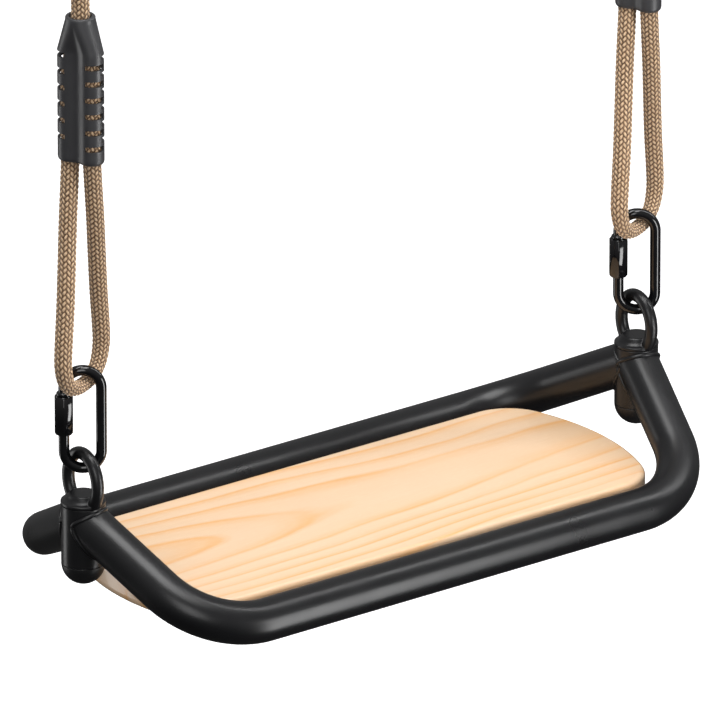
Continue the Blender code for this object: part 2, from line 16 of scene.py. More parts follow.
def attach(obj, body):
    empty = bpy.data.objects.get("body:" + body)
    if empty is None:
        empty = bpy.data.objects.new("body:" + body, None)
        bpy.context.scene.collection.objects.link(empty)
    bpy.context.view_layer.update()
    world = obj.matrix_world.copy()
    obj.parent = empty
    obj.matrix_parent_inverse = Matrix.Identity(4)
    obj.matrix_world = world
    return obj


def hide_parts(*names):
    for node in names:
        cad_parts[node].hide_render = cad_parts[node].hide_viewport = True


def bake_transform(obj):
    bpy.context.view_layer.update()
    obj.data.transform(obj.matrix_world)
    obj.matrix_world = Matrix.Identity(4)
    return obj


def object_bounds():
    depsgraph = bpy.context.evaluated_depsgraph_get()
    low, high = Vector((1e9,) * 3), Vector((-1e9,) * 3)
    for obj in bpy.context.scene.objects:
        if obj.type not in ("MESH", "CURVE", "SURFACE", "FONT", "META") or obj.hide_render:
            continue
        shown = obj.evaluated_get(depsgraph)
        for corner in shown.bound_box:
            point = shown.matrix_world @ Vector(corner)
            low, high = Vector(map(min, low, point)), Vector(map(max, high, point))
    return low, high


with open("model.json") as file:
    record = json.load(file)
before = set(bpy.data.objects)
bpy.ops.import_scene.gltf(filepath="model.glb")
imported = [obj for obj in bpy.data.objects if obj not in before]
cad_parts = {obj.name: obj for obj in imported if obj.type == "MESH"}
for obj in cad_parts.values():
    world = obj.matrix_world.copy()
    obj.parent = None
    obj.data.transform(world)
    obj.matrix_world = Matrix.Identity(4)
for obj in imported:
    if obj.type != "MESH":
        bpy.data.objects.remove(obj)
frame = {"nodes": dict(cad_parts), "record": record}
cad_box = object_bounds()
mounts = {mount["name"]: Vector(mount["pos_m"]) for mount in frame["record"]["mounts"]}

SIDES = {"left": mounts["hook_left"].x, "right": mounts["hook_right"].x}
BOARD_TOP = mounts["seat_top"].z
BOARD_DEPTH = 0.050  # of the board's top, below the level where the tubes meet the posts
FRAME_Z = BOARD_TOP + BOARD_DEPTH

# Camera, at the angle of a catalogue picture taken from afar
CAMERA_TURN = math.radians(36.8)
CAMERA_LIFT = math.radians(22.4)
CAMERA_DISTANCE = 14.4
VIEW_WIDTH = 0.5183
VIEW_CENTRE = Vector((-0.0014, 0.0010, FRAME_Z + 0.061))

# Studio: the world is brighter above than below, and the strips make the lines of light along the rods
WORLD_RANGE = {"From Min": -0.7, "From Max": 0.9, "To Min": 0.04, "To Max": 0.38}
FLOOR_DEPTH = 0.9
FLOOR_SIZE = 60
FLOOR_COLOUR = (0.92, 0.92, 0.92, 1)
FLOOR_GLOW = 0.9
SEAT_POINT = (0, 0, BOARD_TOP)
STRIP_POINT = (0, 0, -1.10)
SOFTBOXES = [  # name, place, target, size, watts
    ("key", (-0.3, -0.2, 1.5), SEAT_POINT, (1.5, 1.5), 52),
    ("front", (-2.6, -2.6, 0.6), SEAT_POINT, (1.6, 2.2), 40),
    ("right_strip", (0.57, -1.33, -1.10), STRIP_POINT, (0.42, 1.3), 18),
    ("left_strip", (-1.10, 1.22, -1.10), STRIP_POINT, (0.50, 1.3), 6),
    ("upper_strip", (0.95, -0.35, 0.25), SEAT_POINT, (0.10, 1.2), 6),
]

# Frame, repeated from the CAD
TUBE_RADIUS = 0.016
TUBE_WALL = 0.002
COAT_SHRINK = 0.0002  # keeps the rounder tube inside the faceted one's box
BAR_Y = 0.111
BAR_DROP = 0.061
CORNER_X = 0.2185
BEND_RADIUS = 0.064
POST_TOP = 0.012
POST_FOOT = -0.033
GAP = 0.0003
CAP_STEM_TOP = -0.021
EYE_SEAT = 0.0123
RING_CENTRE = 0.029
RING_HALF_Y = 0.0178
RING_HALF_Z = 0.0213
RING_ROD = 0.00465
RING_SWEEP = (-72, 252)  # degrees
EYE_VOXEL = 0.00042
SHANK_RADIUS = 0.005
SHANK_FOOT = -0.019
BEAD_RADIUS = 0.0016
BEAD_SIDES = 14
SEAM_POINTS = 96
SEAM_PROUD = 0.0001
SEAM_ROUNDS = 8

# How far the frame's cutters reach
BORE_OVERRUN = 0.01
FAR_X = 0.4
FAR_Y = 0.06
FAR_Z = 0.1
COPE_TOP = 0.05
COPE_FOOT = -0.06

# Board
BOARD_LENGTH = 0.437
BOARD_WIDTH = 0.177
BOARD_THICK = 0.0217
BOARD_END_RADIUS = 0.180
BOARD_CORNER_RADIUS = 0.040
BOARD_ROUNDING = 0.008
BOARD_TOP_ROUNDING = 0.0045
STRAP_X = 0.140
STRAP_WIDTH = 0.030
STRAP_THICK = 0.004
STRAP_REACH = 0.0985
SCREW_Y = 0.062
SCREW_SHANK = 0.0021
SCREW_HEAD = 0.0048
SCREW_HEAD_DEPTH = 0.0026
SCREW_RIM = 0.0008
SCREW_PITCH = 0.0016
SCREW_DEPTH = 0.013

# Pine: growth rings to the metre, and how the tree's pith runs past the sawn face
GROWTH_RINGS = 80.0
PITH_Y = 0.012
PITH_DEPTH = 0.031
PITH_SLOPE = 0.065

# Quick links
LINK_ROD = 0.0039
LINK_HALF_WIDTH = 0.0134
LINK_HALF_HEIGHT = 0.0376
LINK_OPEN_TOP = 0.0156
LINK_OPEN_FOOT = 0.0054
LINK_NUT_TOP = 0.0188
LINK_NUT_FOOT = -0.0108
LINK_NUT_RADIUS = 0.0076
LINK_NUT_BORE = 0.0043
NUT_NECK = 0.0007  # length of the nut's turned-down ends
NUT_CONE = 0.0022  # from its ends to where the hexagon is whole
COLLAR_RADIUS = 0.0053
COLLAR_DEPTH = 0.002
SEAT_LINK_CENTRE = FRAME_Z + 0.077
SEAT_LINK_TURN = math.radians(-35)
HANGER_LINK_CENTRE = LINK_ROD - LINK_HALF_HEIGHT

# Clamp sleeves
SLEEVE_HEIGHT = 0.1105
SLEEVE_TAPER = 0.025  # a little longer than the CAD's
LOBE_SPREAD = 0.009
LOBE_RADIUS = 0.009
LOBE_BORE = 0.0074
VALLEY = 0.0025
VALLEY_BORE = 0.0021
NECK_RADIUS = 0.0109
NECK_BORE = 0.0076
NECK_EDGE = 0.0012
NECK_ROUNDING = 0.0014
NECK_DEPTH = 0.007
BORE_TAPER = 0.029
SLEEVE_ROUNDING = 0.0030
ROUNDING_PULL = 0.55
SLOT_FIRST = 0.0128
SLOT_PITCH = 0.0124
SLOT_COUNT = 6
SLOT_HEIGHT = 0.0042
SLOT_INSET = 0.0082
SLOT_BACK = 0.0012
SLOT_REACH = 0.03
SLOT_EDGE = 0.0005
SEAT_SLEEVE_FOOT = FRAME_Z + 0.2755
SEAT_SLEEVE_TURN = math.radians(-67.2)
HANGER_SLEEVE_FOOT = FRAME_Z + 0.5605

# Braided rope
STRANDS = 14  # carriers that run each way
STRAND_STEP = 0.0040  # along the rope, from one strand to the next
ROPE_SIDES = 56
RINGS_PER_STEP = 5
RELIEF = 0.0009  # depth of the gaps between strands
RELIEF_GAIN = 1.25  # strands stand a little proud of the rope's own radius
ACROSS_POWER = 0.5  # the lower, the flatter a strand's back, across it
ALONG_POWER = 0.45  # and along it
END_RINGS = 6  # rings in which a rope's end closes
CURVE_STEPS = 24  # between two points of the route

# One rope, from its tail in the seat sleeve, round the seat link, up through both sleeves, over the hanger
# link and back into the upper sleeve: offsets from the rope's axis, local height and radius.
ROPE_ROUTE = [
    (0.0035, -0.0083, 0.3512, 0.0066),
    (0.0035, -0.0083, 0.3000, 0.0066),
    (0.0035, -0.0083, 0.2780, 0.0066),
    (0.0052, -0.0069, 0.2620, 0.0066),
    (0.0098, -0.0030, 0.2310, 0.0066),
    (0.0148, 0.0022, 0.2000, 0.0066),
    (0.0198, 0.0072, 0.1690, 0.0066),
    (0.0243, 0.0108, 0.1400, 0.0065),
    (0.0251, 0.0117, 0.1250, 0.0063),
    (0.0208, 0.0097, 0.1123, 0.0059),
    (0.0118, 0.0055, 0.1052, 0.0055),
    (0.0, 0.0, 0.1033, 0.0053),
    (-0.0118, -0.0055, 0.1052, 0.0055),
    (-0.0208, -0.0097, 0.1123, 0.0059),
    (-0.0251, -0.0117, 0.1250, 0.0063),
    (-0.0243, -0.0108, 0.1400, 0.0065),
    (-0.0198, -0.0072, 0.1690, 0.0066),
    (-0.0148, -0.0022, 0.2000, 0.0066),
    (-0.0098, 0.0030, 0.2310, 0.0066),
    (-0.0052, 0.0069, 0.2620, 0.0066),
    (-0.0035, 0.0083, 0.2780, 0.0066),
    (-0.0035, 0.0083, 0.3000, 0.0066),
    (-0.0035, 0.0083, 0.3250, 0.0066),
    (-0.0034, 0.0081, 0.3390, 0.0066),
    (-0.0029, 0.0070, 0.3500, 0.0064),
    (-0.0018, 0.0042, 0.3620, 0.0063),
    (-0.0005, 0.0013, 0.3740, 0.0064),
    (0.0, 0.0, 0.3850, 0.0066),
    (0.0, 0.0, 0.4000, 0.0066),
    (0.0, 0.0, 0.4200, 0.0066),
    (0.0, 0.0, 0.4405, 0.0066),
    (0.0, 0.0, 0.4540, 0.0066),
    (0.0, 0.0014, 0.4620, 0.0064),
    (0.0, 0.0046, 0.4740, 0.0063),
    (0.0, 0.0076, 0.4860, 0.0064),
    (0.0, 0.0088, 0.4970, 0.0066),
    (0.0, 0.0090, 0.5110, 0.0066),
    (0.0, 0.0090, 0.5360, 0.0066),
    (0.0, 0.0090, 0.5580, 0.0066),
    (0.0, 0.0106, 0.5740, 0.0066),
    (0.0, 0.0148, 0.6050, 0.0066),
    (0.0, 0.0190, 0.6360, 0.0066),
    (0.0, 0.0225, 0.6670, 0.0066),
    (0.0, 0.0245, 0.6960, 0.0065),
    (0.0, 0.0235, 0.7110, 0.0063),
    (0.0, 0.0185, 0.7228, 0.0059),
    (0.0, 0.0100, 0.7302, 0.0055),
    (0.0, 0.0, 0.7326, 0.0053),
    (0.0, -0.0100, 0.7302, 0.0055),
    (0.0, -0.0185, 0.7228, 0.0059),
    (0.0, -0.0235, 0.7110, 0.0063),
    (0.0, -0.0245, 0.6960, 0.0065),
    (0.0, -0.0225, 0.6670, 0.0066),
    (0.0, -0.0190, 0.6360, 0.0066),
    (0.0, -0.0148, 0.6050, 0.0066),
    (0.0, -0.0106, 0.5740, 0.0066),
    (0.0, -0.0090, 0.5580, 0.0066),
    (0.0, -0.0090, 0.5360, 0.0066),
    (0.0, -0.0090, 0.4850, 0.0066),
]


# Camera and light


def add_camera():
    turn, lift = CAMERA_TURN, CAMERA_LIFT
    back = Vector((-math.sin(turn) * math.cos(lift), -math.cos(turn) * math.cos(lift), math.sin(lift)))
    data = bpy.data.cameras.new("camera")
    data.lens = data.sensor_width * CAMERA_DISTANCE / VIEW_WIDTH
    data.clip_end = 100
    camera = bpy.data.objects.new("camera", data)
    camera.location = VIEW_CENTRE + back * CAMERA_DISTANCE
    camera.rotation_euler = (-back).to_track_quat("-Z", "Y").to_euler()
    bpy.context.scene.collection.objects.link(camera)
    bpy.context.scene.camera = camera


def add_softbox(name, location, target, size, power):
    data = bpy.data.lights.new(name, "AREA")
    data.shape = "RECTANGLE"
    data.size, data.size_y = size
    data.energy = power
    light = bpy.data.objects.new(name, data)
    light.location = location
    light.rotation_euler = (Vector(target) - Vector(location)).to_track_quat("-Z", "Y").to_euler()
    light.visible_camera = False
    bpy.context.scene.collection.objects.link(light)


def add_studio():
    scene = bpy.context.scene
    scene.view_settings.view_transform = "Standard"
    world = bpy.data.worlds.new("studio")
    world.use_nodes = True
    tree = world.node_tree
    direction = tree.nodes.new("ShaderNodeTexCoord").outputs["Generated"]
    parts = tree.nodes.new("ShaderNodeSeparateXYZ")
    tree.links.new(direction, parts.inputs[0])
    sky = tree.nodes.new("ShaderNodeMapRange")
    sky.interpolation_type = "SMOOTHSTEP"
    for name, value in WORLD_RANGE.items():
        sky.inputs[name].default_value = value
    tree.links.new(parts.outputs["Z"], sky.inputs["Value"])
    background = tree.nodes["Background"]
    background.inputs["Color"].default_value = (1, 1, 1, 1)
    tree.links.new(sky.outputs[0], background.inputs["Strength"])
    scene.world = world
    for name, location, target, size, power in SOFTBOXES:
        add_softbox(name, location, target, size, power)
    bpy.ops.mesh.primitive_plane_add(size=FLOOR_SIZE, location=(0, 0, cad_box[0].z - FLOOR_DEPTH))
    floor = bpy.context.active_object
    floor.name = "floor"
    floor.visible_diffuse = False
    floor.visible_glossy = False
    floor.visible_shadow = False
    pale = bpy.data.materials.new("floor")
    pale.use_nodes = True
    shader = pale.node_tree.nodes["Principled BSDF"]
    shader.inputs["Base Color"].default_value = FLOOR_COLOUR
    shader.inputs["Roughness"].default_value = 0.9
    shader.inputs["Emission Color"].default_value = (1, 1, 1, 1)
    shader.inputs["Emission Strength"].default_value = FLOOR_GLOW
    floor.data.materials.append(pale)


# Node graphs


SOCKETS = {"specular_ior_level": "Specular IOR Level"}


class Graph:
    """A material's nodes. Its methods make one node each, and return the node's output."""

    def __init__(self, name):
        self.material = bpy.data.materials.new(name)
        self.material.use_nodes = True
        self.tree = self.material.node_tree
        self.shader = self.tree.nodes["Principled BSDF"]

    def fill(self, socket, value):
        if isinstance(value, bpy.types.NodeSocket):
            self.tree.links.new(value, socket)
        elif value is not None:
            socket.default_value = value

    def set(self, **values):
        """Sets or links the shader's inputs, named with underscores for spaces."""
        for name, value in values.items():
            if isinstance(value, tuple):
                value = (*value, 1)
            self.fill(self.shader.inputs[SOCKETS.get(name) or name.replace("_", " ").title()], value)

    def node(self, kind, output=0, settings=(), **inputs):
        made = self.tree.nodes.new(kind)
        for name, value in settings:
            setattr(made, name, value)
        for name, value in inputs.items():
            self.fill(made.inputs[name.replace("_", " ")], value)
        return made.outputs[output]

    def math(self, operation, first, second=None, third=None):
        made = self.tree.nodes.new("ShaderNodeMath")
        made.operation = operation
        for socket, value in zip(made.inputs, (first, second, third)):
            self.fill(socket, value)
        return made.outputs[0]

    def place(self, scale=(1, 1, 1)):
        """The surface point in the object's own metres, stretched by scale."""
        made = self.tree.nodes.new("ShaderNodeVectorMath")
        made.operation = "MULTIPLY"
        self.fill(made.inputs[0], self.node("ShaderNodeTexCoord", "Object"))
        made.inputs[1].default_value = scale
        return made.outputs[0]

    def noise(self, vector, scale, detail=2.0, roughness=0.5):
        inputs = {"Vector": vector, "Scale": scale, "Detail": detail, "Roughness": roughness}
        return self.node("ShaderNodeTexNoise", **inputs)

    def ramp(self, factor, stops, interpolation="LINEAR"):
        made = self.tree.nodes.new("ShaderNodeValToRGB")
        made.color_ramp.interpolation = interpolation
        elements = made.color_ramp.elements
        while len(elements) < len(stops):
            elements.new(0.5)
        for element, (position, colour) in zip(elements, stops):
            element.position = position
            element.color = (*colour, 1) if isinstance(colour, tuple) else (colour, colour, colour, 1)
        self.fill(made.inputs[0], factor)
        return made.outputs[0]

    def mix(self, factor, first, second):
        made = self.tree.nodes.new("ShaderNodeMix")
        made.data_type = "RGBA"
        colours = [socket for socket in made.inputs if socket.type == "RGBA"]
        self.fill(made.inputs[0], factor)
        for socket, value in zip(colours, (first, second)):
            self.fill(socket, (*value, 1) if isinstance(value, tuple) else value)
        return next(socket for socket in made.outputs if socket.type == "RGBA")

    def bump(self, height, distance, strength=1.0):
        return self.node("ShaderNodeBump", 0, Height=height, Distance=distance, Strength=strength)


def powder_coat(name, colour, low, high):
    """Satin powder coat: a fine orange peel and faintly uneven gloss."""
    graph = Graph(name)
    point = graph.place()
    peel = graph.noise(point, 900, 3)
    cloud = graph.noise(point, 26, 3)
    gloss = graph.ramp(cloud, [(0.3, low), (0.7, high)])
    light = tuple(1.35 * c for c in colour)
    graph.set(
        base_color=graph.mix(cloud, colour, light),
        roughness=gloss,
        specular_ior_level=0.38,
        normal=graph.bump(peel, distance=0.00004),
    )
    return graph.material


def gloss_black(name):
    """Glossy black plated rod, with faint drawing marks and rubbed spots."""
    graph = Graph(name)
    point = graph.place()
    marks = graph.noise(graph.place((260, 260, 34)), 4, 4)
    rub = graph.noise(point, 130, 4)
    gloss = graph.ramp(rub, [(0.35, 0.07), (0.75, 0.12)])
    graph.set(
        base_color=graph.mix(rub, (0.0025, 0.0025, 0.0030), (0.0060, 0.0060, 0.0070)),
        roughness=gloss,
        normal=graph.bump(marks, distance=0.00002),
    )
    return graph.material


def sleeve_plastic():
    """Dark-grey moulded plastic with a light texture and a few scuffs."""
    graph = Graph("sleeve_plastic")
    point = graph.place()
    texture = graph.noise(point, 1500, 2)
    cloud = graph.noise(point, 60, 4)
    gloss = graph.ramp(cloud, [(0.3, 0.36), (0.7, 0.46)])
    graph.set(
        base_color=graph.mix(cloud, (0.036, 0.036, 0.039), (0.045, 0.045, 0.048)),
        roughness=gloss,
        normal=graph.bump(texture, distance=0.00003),
    )
    return graph.material


def zinc_steel():
    graph = Graph("zinc_steel")
    point = graph.place()
    spangle = graph.noise(point, 420, 3)
    gloss = graph.ramp(spangle, [(0.3, 0.26), (0.7, 0.42)])
    graph.set(
        base_color=graph.mix(spangle, (0.42, 0.43, 0.45), (0.66, 0.66, 0.66)),
        metallic=1.0,
        roughness=gloss,
        normal=graph.bump(spangle, distance=0.00002),
    )
    return graph.material


def varnished_pine():
    """Flat-sawn pine under clear varnish: the tree's rings on a face that cuts them at a slant."""
    graph = Graph("varnished_pine")
    drift = graph.noise(graph.place((3.0, 7.0, 7.0)), 1.0, 1.5, 0.4)
    waver = graph.noise(graph.place((11.0, 40.0, 40.0)), 1.0, 2)
    point = graph.place()
    along = graph.node("ShaderNodeSeparateXYZ", 0, Vector=point)
    across = graph.math("SUBTRACT", along.node.outputs[1], PITH_Y)
    deep = graph.math("MULTIPLY_ADD", along, PITH_SLOPE, graph.math("MULTIPLY_ADD", drift, 0.03, PITH_DEPTH))
    squares = (graph.math("MULTIPLY", across, across), graph.math("MULTIPLY", deep, deep))
    radius = graph.math("SQRT", graph.math("ADD", *squares))
    wobble = graph.math("MULTIPLY_ADD", waver, 0.42, graph.math("MULTIPLY", drift, 1.6))
    rings = graph.math("MULTIPLY_ADD", radius, GROWTH_RINGS, wobble)
    late_wood = [(0.0, 0.0), (0.40, 0.10), (0.70, 0.50), (0.85, 1.0), (0.93, 0.35), (1.0, 0.0)]
    late = graph.ramp(graph.math("FRACT", rings), late_wood, "EASE")
    strength = graph.ramp(graph.noise(graph.place((5.0, 30.0, 30.0)), 1.0, 2), [(0.30, 0.45), (0.58, 1.0)])
    late = graph.math("MULTIPLY", late, strength)
    fibre = graph.noise(graph.place((26.0, 900.0, 900.0)), 1.0, 3)
    fleck = graph.noise(graph.place((160.0, 1400.0, 1400.0)), 1.0, 2)
    pale = graph.mix(graph.noise(graph.place((4.0, 14.0, 14.0)), 1.0), (0.84, 0.62, 0.43), (0.80, 0.55, 0.34))
    wood = graph.mix(late, pale, (0.82, 0.44, 0.17))
    wood = graph.mix(graph.ramp(fibre, [(0.35, 0.0), (0.75, 0.12)]), wood, (0.66, 0.44, 0.26))
    wood = graph.mix(graph.ramp(fleck, [(0.55, 0.0), (0.75, 0.16)]), wood, (0.94, 0.78, 0.62))
    gloss = graph.ramp(graph.noise(point, 40, 3), [(0.3, 0.30), (0.7, 0.42)])
    graph.set(
        base_color=wood,
        roughness=gloss,
        coat_weight=0.35,
        coat_roughness=0.09,
        normal=graph.bump(fibre, distance=0.00004),
    )
    return graph.material


def braid_cover():
    """The rope's cover: the braid of the mesh's relief, two over two under, with its yarns and fuzz; the gaps
    between strands and each strand's ply groove get painted shade, and the strands' crowns a painted
    highlight.
    """
    graph = Graph("braid_cover")
    braid = graph.node("ShaderNodeUVMap", settings=[("uv_map", "braid")])
    around = graph.node("ShaderNodeSeparateXYZ", 0, Vector=braid)
    along = around.node.outputs[1]
    fuzz = graph.noise(graph.place(), 700, 3)
    wander = graph.math("MULTIPLY_ADD", fuzz, 0.16, -0.08)
    first = graph.math("ADD", graph.math("ADD", around, along), wander)
    second = graph.math("SUBTRACT", graph.math("SUBTRACT", around, along), wander)
    first_index = graph.math("FLOOR", first)
    second_index = graph.math("FLOOR", second)
    first_part = graph.math("FRACT", first)
    second_part = graph.math("FRACT", second)
    turn = graph.math("FLOORED_MODULO", graph.math("ADD", first_index, second_index), 4.0)
    over = graph.math("LESS_THAN", turn, 1.5)
    under = graph.math("SUBTRACT", 1.0, over)

    def choose(upper, lower):
        return graph.math("ADD", graph.math("MULTIPLY", over, upper), graph.math("MULTIPLY", under, lower))

    width = choose(first_part, second_part)
    length = graph.math("ADD", choose(second_part, first_part), graph.math("MODULO", turn, 2.0))
    bulge = graph.math("SINE", graph.math("MULTIPLY", width, math.pi))
    rise = graph.math("SINE", graph.math("MULTIPLY", length, math.pi / 2))
    powers = (graph.math("POWER", bulge, ACROSS_POWER), graph.math("POWER", rise, ALONG_POWER))
    height = graph.math("MULTIPLY", *powers)
    plies = graph.math("ABSOLUTE", graph.math("COSINE", graph.math("MULTIPLY", width, math.pi)))
    strand = choose(first_index, graph.math("ADD", second_index, 37.0))
    tint = graph.node("ShaderNodeTexWhiteNoise", 0, settings=[("noise_dimensions", "1D")], W=strand)
    # Colour by the braid's height: painted shade, near black, in the gaps between strands, and a painted
    # highlight on the strands' crowns.
    painted_gap_shade_and_highlight = graph.ramp(
        height,
        [
            (0.0, (0.030, 0.010, 0.003)),
            (0.55, (0.110, 0.050, 0.018)),
            (0.78, (0.580, 0.370, 0.200)),
            (1.0, (0.920, 0.690, 0.450)),
        ],
    )
    yarn = graph.mix(graph.math("MULTIPLY", tint, 0.28), painted_gap_shade_and_highlight, (0.46, 0.27, 0.14))
    # Painted shade: the groove between a strand's two plies is darkened.
    yarn = graph.mix(graph.ramp(plies, [(0.05, 0.50), (0.45, 0.0)]), yarn, (0.16, 0.080, 0.035))
    yarn = graph.mix(graph.ramp(fuzz, [(0.35, 0.0), (0.8, 0.2)]), yarn, (0.80, 0.62, 0.44))
    relief = graph.math("MULTIPLY_ADD", plies, 0.18, height)
    graph.set(
        base_color=yarn,
        roughness=0.78,
        sheen_weight=0.25,
        sheen_roughness=0.5,
        normal=graph.bump(relief, distance=0.0007, strength=0.8),
    )
    return graph.material


# Mesh tools


WELD = 1e-6
ON_AXIS = 2e-6  # points of a profile that are this near to its axis are welded into one


def mesh_from(points, faces, name="shape"):
    mesh = bpy.data.meshes.new(name)
    mesh.from_pydata([tuple(point) for point in points], [], faces)
    return mesh


def joined_rings(rings, cyclic=False):
    """A skin over rings with equal numbers of points, closed by two end faces or, if cyclic, on itself."""
    count = len(rings[0])
    points = [point for ring in rings for point in ring]
    pairs = list(zip(range(len(rings)), range(1, len(rings))))
    if cyclic:
        pairs.append((len(rings) - 1, 0))
    faces = []
    for low, high in pairs:
        for k in range(count):
            after = (k + 1) % count
            faces.append((low * count + k, low * count + after, high * count + after, high * count + k))
    if not cyclic:
        faces.append(tuple(range(count - 1, -1, -1)))
        faces.append(tuple((len(rings) - 1) * count + k for k in range(count)))
    mesh = mesh_from(points, faces)
    facing_out(mesh)
    return mesh


def facing_out(mesh):
    work = bmesh.new()
    work.from_mesh(mesh)
    bmesh.ops.remove_doubles(work, verts=work.verts, dist=WELD)
    bmesh.ops.recalc_face_normals(work, faces=work.faces)
    work.to_mesh(mesh)
    work.free()


def transported(points):
    """Two unit normals at each point of a line, carried along it without twist."""
    points = [Vector(point) for point in points]
    after, before = [*points[1:], points[-1]], [points[0], *points[:-1]]
    tangents = [(high - low).normalized() for high, low in zip(after, before)]
    start = Vector((0, 1, 0)) if abs(tangents[0].y) < 0.9 else Vector((1, 0, 0))
    side = tangents[0].cross(start).normalized()
    frames = []
    for k, tangent in enumerate(tangents):
        if k:
            side = tangents[k - 1].rotation_difference(tangent) @ side
        side = (side - tangent * side.dot(tangent)).normalized()
        frames.append((side, tangent.cross(side)))
    return frames


def swept(points, radius, sides):
    """A round rod along points."""
    turns = [2 * math.pi * n / sides for n in range(sides)]
    rings = []
    for point, (side, up) in zip(points, transported(points)):
        rings.append([Vector(point) + (side * math.cos(a) + up * math.sin(a)) * radius for a in turns])
    return joined_rings(rings)


def turned(profile, sides, cyclic=False):
    """The solid that a profile of (radius, height) makes round Z."""
    turns = [2 * math.pi * n / sides for n in range(sides)]
    rings = []
    for radius, height in profile:
        reach = max(radius, ON_AXIS)
        rings.append([(reach * math.cos(a), reach * math.sin(a), height) for a in turns])
    return joined_rings(rings, cyclic)


def pin(radius, low, high, sides):
    """A plain round cutter round Z."""
    return turned([(0, high), (radius, high), (radius, low), (0, low)], sides)


def box(low, high):
    work = bmesh.new()
    bmesh.ops.create_cube(work, size=1)
    bmesh.ops.scale(work, vec=Vector(high) - Vector(low), verts=work.verts)
    bmesh.ops.translate(work, vec=(Vector(low) + Vector(high)) / 2, verts=work.verts)
    mesh = bpy.data.meshes.new("box")
    work.to_mesh(mesh)
    work.free()
    return mesh


def prism(outline, low, high):
    floor = [(x, y, low) for x, y in outline]
    top = [(x, y, high) for x, y in outline]
    return joined_rings([floor, top])


def merged(meshes):
    """Several meshes as one, without joining their skins."""
    work = bmesh.new()
    for mesh in meshes:
        work.from_mesh(mesh)
    mesh = bpy.data.meshes.new("merged")
    work.to_mesh(mesh)
    work.free()
    return mesh


def modified(mesh, *modifiers):
    """The mesh after modifiers, each (type, {setting: value})."""
    obj = bpy.data.objects.new("work", mesh)
    bpy.context.scene.collection.objects.link(obj)
    for kind, settings in modifiers:
        modifier = obj.modifiers.new(kind.lower(), kind)
        for name, value in settings.items():
            setattr(modifier, name, value)
    bpy.context.view_layer.update()
    graph = bpy.context.evaluated_depsgraph_get()
    result = bpy.data.meshes.new_from_object(obj.evaluated_get(graph))
    bpy.data.objects.remove(obj)
    return result


def combined(base, tool, operation="DIFFERENCE"):
    other = bpy.data.objects.new("tool", tool)
    bpy.context.scene.collection.objects.link(other)
    mesh = modified(base, ("BOOLEAN", {"operation": operation, "solver": "EXACT", "object": other}))
    bpy.data.objects.remove(other)
    return mesh


def melted(mesh, voxel, rounds):
    """One skin with soft inner corners, as on a forging."""
    remesh = ("REMESH", {"mode": "VOXEL", "voxel_size": voxel})
    return modified(mesh, remesh, ("SMOOTH", {"factor": 0.5, "iterations": rounds}))


def bevelled(mesh, width, segments, angle=35):
    settings = {
        "width": width,
        "segments": segments,
        "limit_method": "ANGLE",
        "angle_limit": math.radians(angle),
        "harden_normals": True,
    }
    return modified(mesh, ("BEVEL", settings))


def moved(mesh, matrix):
    made = mesh.copy()
    made.transform(matrix)
    return made


def arc(centre, start, stop, radius, steps):
    angles = np.linspace(start, stop, steps + 1)
    return [(centre[0] + radius * math.cos(a), centre[1] + radius * math.sin(a)) for a in angles]


def piece(name, mesh, finish, body, slot, *nodes, crease=35):
    """One visible piece in place of CAD nodes."""
    mesh.name = name
    mesh.materials.clear()
    mesh.materials.append(finish)
    mesh.shade_smooth()
    mesh.set_sharp_from_angle(angle=math.radians(crease))
    obj = bpy.data.objects.new(name, mesh)
    bpy.context.scene.collection.objects.link(obj)
    if body:
        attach(obj, body)
    if nodes:
        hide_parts(*nodes)
    return obj


# Ropes


def smooth_line(route, spacing):
    """Evenly spaced points, with radii, on a Catmull-Rom curve through the route."""
    knots = np.array(route)
    padded = np.vstack([2 * knots[0] - knots[1], knots, 2 * knots[-1] - knots[-2]])
    dense = []
    for a, b, c, d in zip(padded, padded[1:], padded[2:], padded[3:]):
        for t in np.arange(CURVE_STEPS) / CURVE_STEPS:
            square = (2 * a - 5 * b + 4 * c - d) * t**2
            cube = (3 * b - a - 3 * c + d) * t**3
            dense.append(0.5 * (2 * b + (c - a) * t + square + cube))
    dense = np.array([*dense, knots[-1]])
    steps = np.linalg.norm(np.diff(dense[:, :3], axis=0), axis=1)
    reached = np.concatenate([[0], np.cumsum(steps)])
    at = np.linspace(0, reached[-1], round(reached[-1] / spacing) + 1)
    return np.column_stack([np.interp(at, reached, dense[:, k]) for k in range(4)]), at


def braid_height(around, along):
    """How far the cover stands up, from 0 between strands to 1 on a float, as braid_cover() draws it."""
    first, second = around + along, around - along
    turn = np.mod(np.floor(first) + np.floor(second), 4)
    over = turn < 1.5
    first_part, second_part = first - np.floor(first), second - np.floor(second)
    width = np.where(over, first_part, second_part)
    length = np.where(over, second_part, first_part) + np.mod(turn, 2)
    return np.sin(width * np.pi) ** ACROSS_POWER * np.sin(length * np.pi / 2) ** ALONG_POWER


